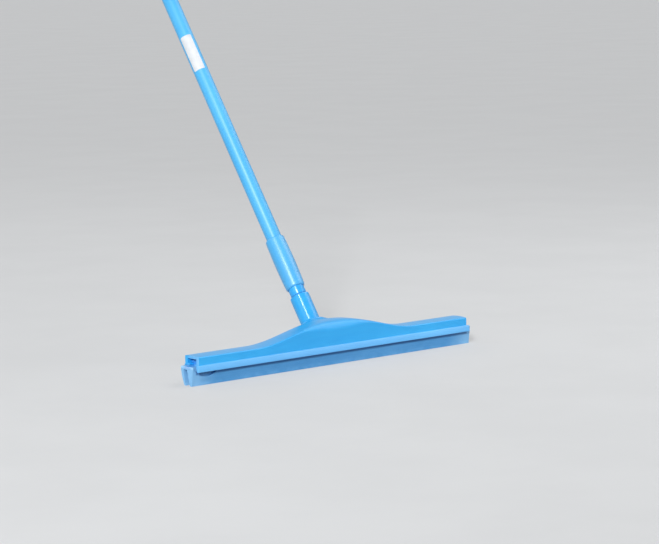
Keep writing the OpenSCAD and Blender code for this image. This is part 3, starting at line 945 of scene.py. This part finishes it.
def grip_shape():
    """A grip with shallow rings all along it."""
    pitch = (GRIP_LEN - 4 * GRIP_END_R) / GRIP_RINGS
    first_ring = GRIP_LOW + 2 * GRIP_END_R
    grip_top = GRIP_LOW + GRIP_LEN
    bore = TUBE_R + SNUG
    profile = [(bore, GRIP_LOW)]
    profile += lower_edge(GRIP_R, GRIP_LOW, GRIP_END_R, GRIP_END_R, EDGE_STEPS)
    for ring in range(GRIP_RINGS):
        for i in range(GRIP_RING_STEPS + 1):
            share = i / GRIP_RING_STEPS
            dip = GRIP_RING_DEPTH * sin(pi * share) ** 2
            along = pitch * (ring + GRIP_RING_START + GRIP_RING_SHARE * share)
            profile.append((GRIP_R - dip, first_ring + along))
    profile += [(GRIP_R, grip_top - GRIP_TOP_EDGE), (GRIP_R - GRIP_TOP_EDGE, grip_top), (bore, grip_top)]
    return turned(profile)


def eye_shape():
    """A flat hanging eye, round above and straight down to its foot."""
    eye = bmesh.new()
    side_on = Matrix.Rotation(pi / 2, 4, "Y")
    low_side = Matrix.Translation((-EYE_T / 2, 0, EYE_CENTRE)) @ side_on
    circle = bmesh.ops.create_circle(eye, cap_ends=True, segments=TURN_STEPS, radius=EYE_R, matrix=low_side)
    for v in circle["verts"]:
        if v.co.z < EYE_CENTRE - 0.01:
            v.co.z = TUBE_TOP + CAP_FLANGE - EYE_SUNK
    pushed_out(eye, eye.faces[:], (EYE_T, 0, 0))
    tidy(eye)
    hole = bmesh.new()
    bmesh.ops.create_cone(
        hole, cap_ends=True, segments=TURN_STEPS, radius1=EYE_HOLE_R, radius2=EYE_HOLE_R, depth=2 * EYE_T,
        matrix=Matrix.Translation((0, 0, EYE_CENTRE)) @ side_on,
    )
    eye = joined(eye, hole, "DIFFERENCE")
    soften(eye, EYE_EDGE, angle=50)
    return eye


def cap_shape():
    """The plug and flange of the end cap, with the eye on top."""
    plug_low = TUBE_TOP - CAP_PLUG_LEN
    flange_top = TUBE_TOP + CAP_FLANGE
    profile = [
        (0, plug_low),
        (PLUG_R - CAP_EDGE, plug_low),
        (PLUG_R, plug_low + CAP_EDGE),
        (PLUG_R, TUBE_TOP),
        (GRIP_R - CAP_EDGE / 2, TUBE_TOP),
        (GRIP_R, TUBE_TOP + CAP_EDGE / 2),
        *upper_edge(GRIP_R, flange_top, CAP_EDGE, SMALL_EDGE_STEPS),
        (0, flange_top),
    ]
    return joined(turned(profile, closed=False), eye_shape(), "UNION")


# Finishes
frame_blue = moulded_plastic(
    "frame_moulding", shade(34, 153, 221), shade(46, 167, 231), rough=0.34,
    painted_sheen=skirt_and_end_light, polish=neck_polish,
)
rail_blue = moulded_plastic(
    "rail_moulding", shade(58, 140, 212), shade(72, 154, 222), rough=0.5, painted_sheen=rail_end_light
)
plug_blue = moulded_plastic(
    "plug_moulding", shade(36, 153, 224), shade(48, 166, 233), rough=0.26,
    along_handle=True, flow=(1, 1, 0.2),
)
sleeve_blue = moulded_plastic(
    "sleeve_moulding", shade(58, 158, 216), shade(72, 170, 226), rough=0.36,
    along_handle=True, peel=0.12, peel_scale=900, flow=(1, 1, 0.15), shine=0.9,
)
grip_blue = moulded_plastic(
    "grip_moulding", shade(48, 155, 222), shade(60, 167, 230), rough=0.5,
    along_handle=True, peel=0.14, peel_scale=800, flow=(1, 1, 0.3),
)

# Pieces
frame_bm = joined(bar_with_hump(), neck_with_gusset(), "UNION")
finished(
    "frame_moulding", frame_bm, "frame", frame_blue, ["squeegee_frame"], crease=20
)
finished(
    "socket_thread", socket_thread(), "frame", frame_blue, ["squeegee_frame"],
    on_handle=True,
)
finished(
    "cassette_rail_bar", rail_shape(), "cassette", rail_blue, ["cassette_rail"], crease=12
)
finished(
    "blade_lips", blade_shape(), "cassette", blade_rubber(), ["double_blade"], crease=12
)
finished("seal_washer", seal_shape(), "seal", seal_rubber(), ["neck_seal"], on_handle=True)
handle_pieces = [
    ("screw_plug", plug_shape(), "plug_plastic", plug_blue, "thread_plug"),
    ("barrel_sleeve", sleeve_shape(), "sleeve_plastic", sleeve_blue, "ferrule_sleeve"),
    ("coated_tube", tube_shape(), "tube_paint", tube_coat(), "handle_tube"),
    ("bare_label", label_shape(), "label_film", label_film(), "handle_label"),
    ("ringed_grip", grip_shape(), "grip_plastic", grip_blue, "hand_grip"),
    ("eye_cap", cap_shape(), "grip_plastic", grip_blue, "grip_cap"),
]
for name, bm, slot, material, node in handle_pieces:
    finished(name, bm, "handle", material, [node], on_handle=True)

# Floor
FLOOR_HALF = 120
floor_bm = bmesh.new()
bmesh.ops.create_grid(floor_bm, x_segments=8, y_segments=8, size=FLOOR_HALF)
floor_mesh = bpy.data.meshes.new("floor")
floor_bm.to_mesh(floor_mesh)
floor_bm.free()
floor_mesh.materials.append(floor_finish())
floor = bpy.data.objects.new("floor", floor_mesh)
scene.collection.objects.link(floor)

# Light. Lamps stand off from one place on the object, each in its own direction.
LIT_PLACE = Vector((0.0, 0.12, 0.12))


def soft_lamp(name, direction, distance, width, height, watts):
    lamp = bpy.data.lights.new(name, "AREA")
    lamp.shape = "RECTANGLE"
    lamp.size = width
    lamp.size_y = height
    lamp.energy = watts
    holder = bpy.data.objects.new(name, lamp)
    away = Vector(direction).normalized()
    holder.location = LIT_PLACE + away * distance
    holder.rotation_euler = away.to_track_quat("Z", "Y").to_euler()
    scene.collection.objects.link(holder)


soft_lamp("window_front_right", (0.63, -0.70, 0.42), distance=3.6, width=2.4, height=1.6, watts=18)
soft_lamp("softbox_high_right", (0.63, -0.2, 0.75), distance=3.0, width=2.0, height=2.0, watts=26)
soft_lamp("window_left", (-0.95, -0.15, 0.28), distance=3.0, width=1.6, height=1.2, watts=8)
soft_lamp("softbox_back", (-0.25, 0.8, 0.55), distance=3.6, width=2.4, height=1.4, watts=12)
soft_lamp("lamp_high_left", (-0.63, -0.415, 0.655), distance=2.8, width=0.3, height=0.3, watts=18)
KEY_FROM = Vector((-0.70, -0.56, 0.43))
key = bpy.data.lights.new("key_left", "SUN")
key.energy = 2.45
key.angle = radians(7)
key_holder = bpy.data.objects.new("key_left", key)
key_holder.rotation_euler = KEY_FROM.to_track_quat("Z", "Y").to_euler()
scene.collection.objects.link(key_holder)

# The room gives a low fill; seen directly, in a reflection or through glass it is pale.
world = bpy.data.worlds.new("studio")
scene.world = world
world.use_nodes = True
studio = Nodes(world.node_tree)
fill = studio.tree.nodes["Background"]
fill.inputs["Color"].default_value = (0.95, 0.97, 1.0, 1)
fill.inputs["Strength"].default_value = 0.16
pale_room = studio.node("ShaderNodeBackground", {}, {"Color": (0.8, 0.8, 0.8, 1)})
low_fill = Wire(studio, fill.outputs[0])
studio.show(
    "World Output",
    studio.node("ShaderNodeMixShader", {}, {0: studio.seen(), 1: low_fill, 2: pale_room}),
)

# Camera
CAMERA_AT = Vector((-3.00458, -3.60144, 0.81241))
YAW = radians(-39.7388)
PITCH = radians(7.6941)
ROLL = radians(-0.9341)
IMAGE_W = 659
HALF_PIXEL = 0.5 / IMAGE_W
camera = bpy.data.cameras.new("camera")
camera.sensor_fit = "HORIZONTAL"
camera.sensor_width = 36
camera.lens = 133.87
camera.shift_x = -HALF_PIXEL
camera.shift_y = HALF_PIXEL
camera.clip_end = 500
forward = Vector((-sin(YAW) * cos(PITCH), cos(YAW) * cos(PITCH), -sin(PITCH)))
level = Vector((cos(YAW), sin(YAW), 0))
upright = level.cross(forward)
right = level * cos(ROLL) + upright * sin(ROLL)
up = upright * cos(ROLL) - level * sin(ROLL)
pose = Matrix((right, up, -forward)).transposed().to_4x4()
pose.translation = CAMERA_AT
camera_object = bpy.data.objects.new("camera", camera)
camera_object.matrix_world = pose
scene.collection.objects.link(camera_object)
scene.camera = camera_object
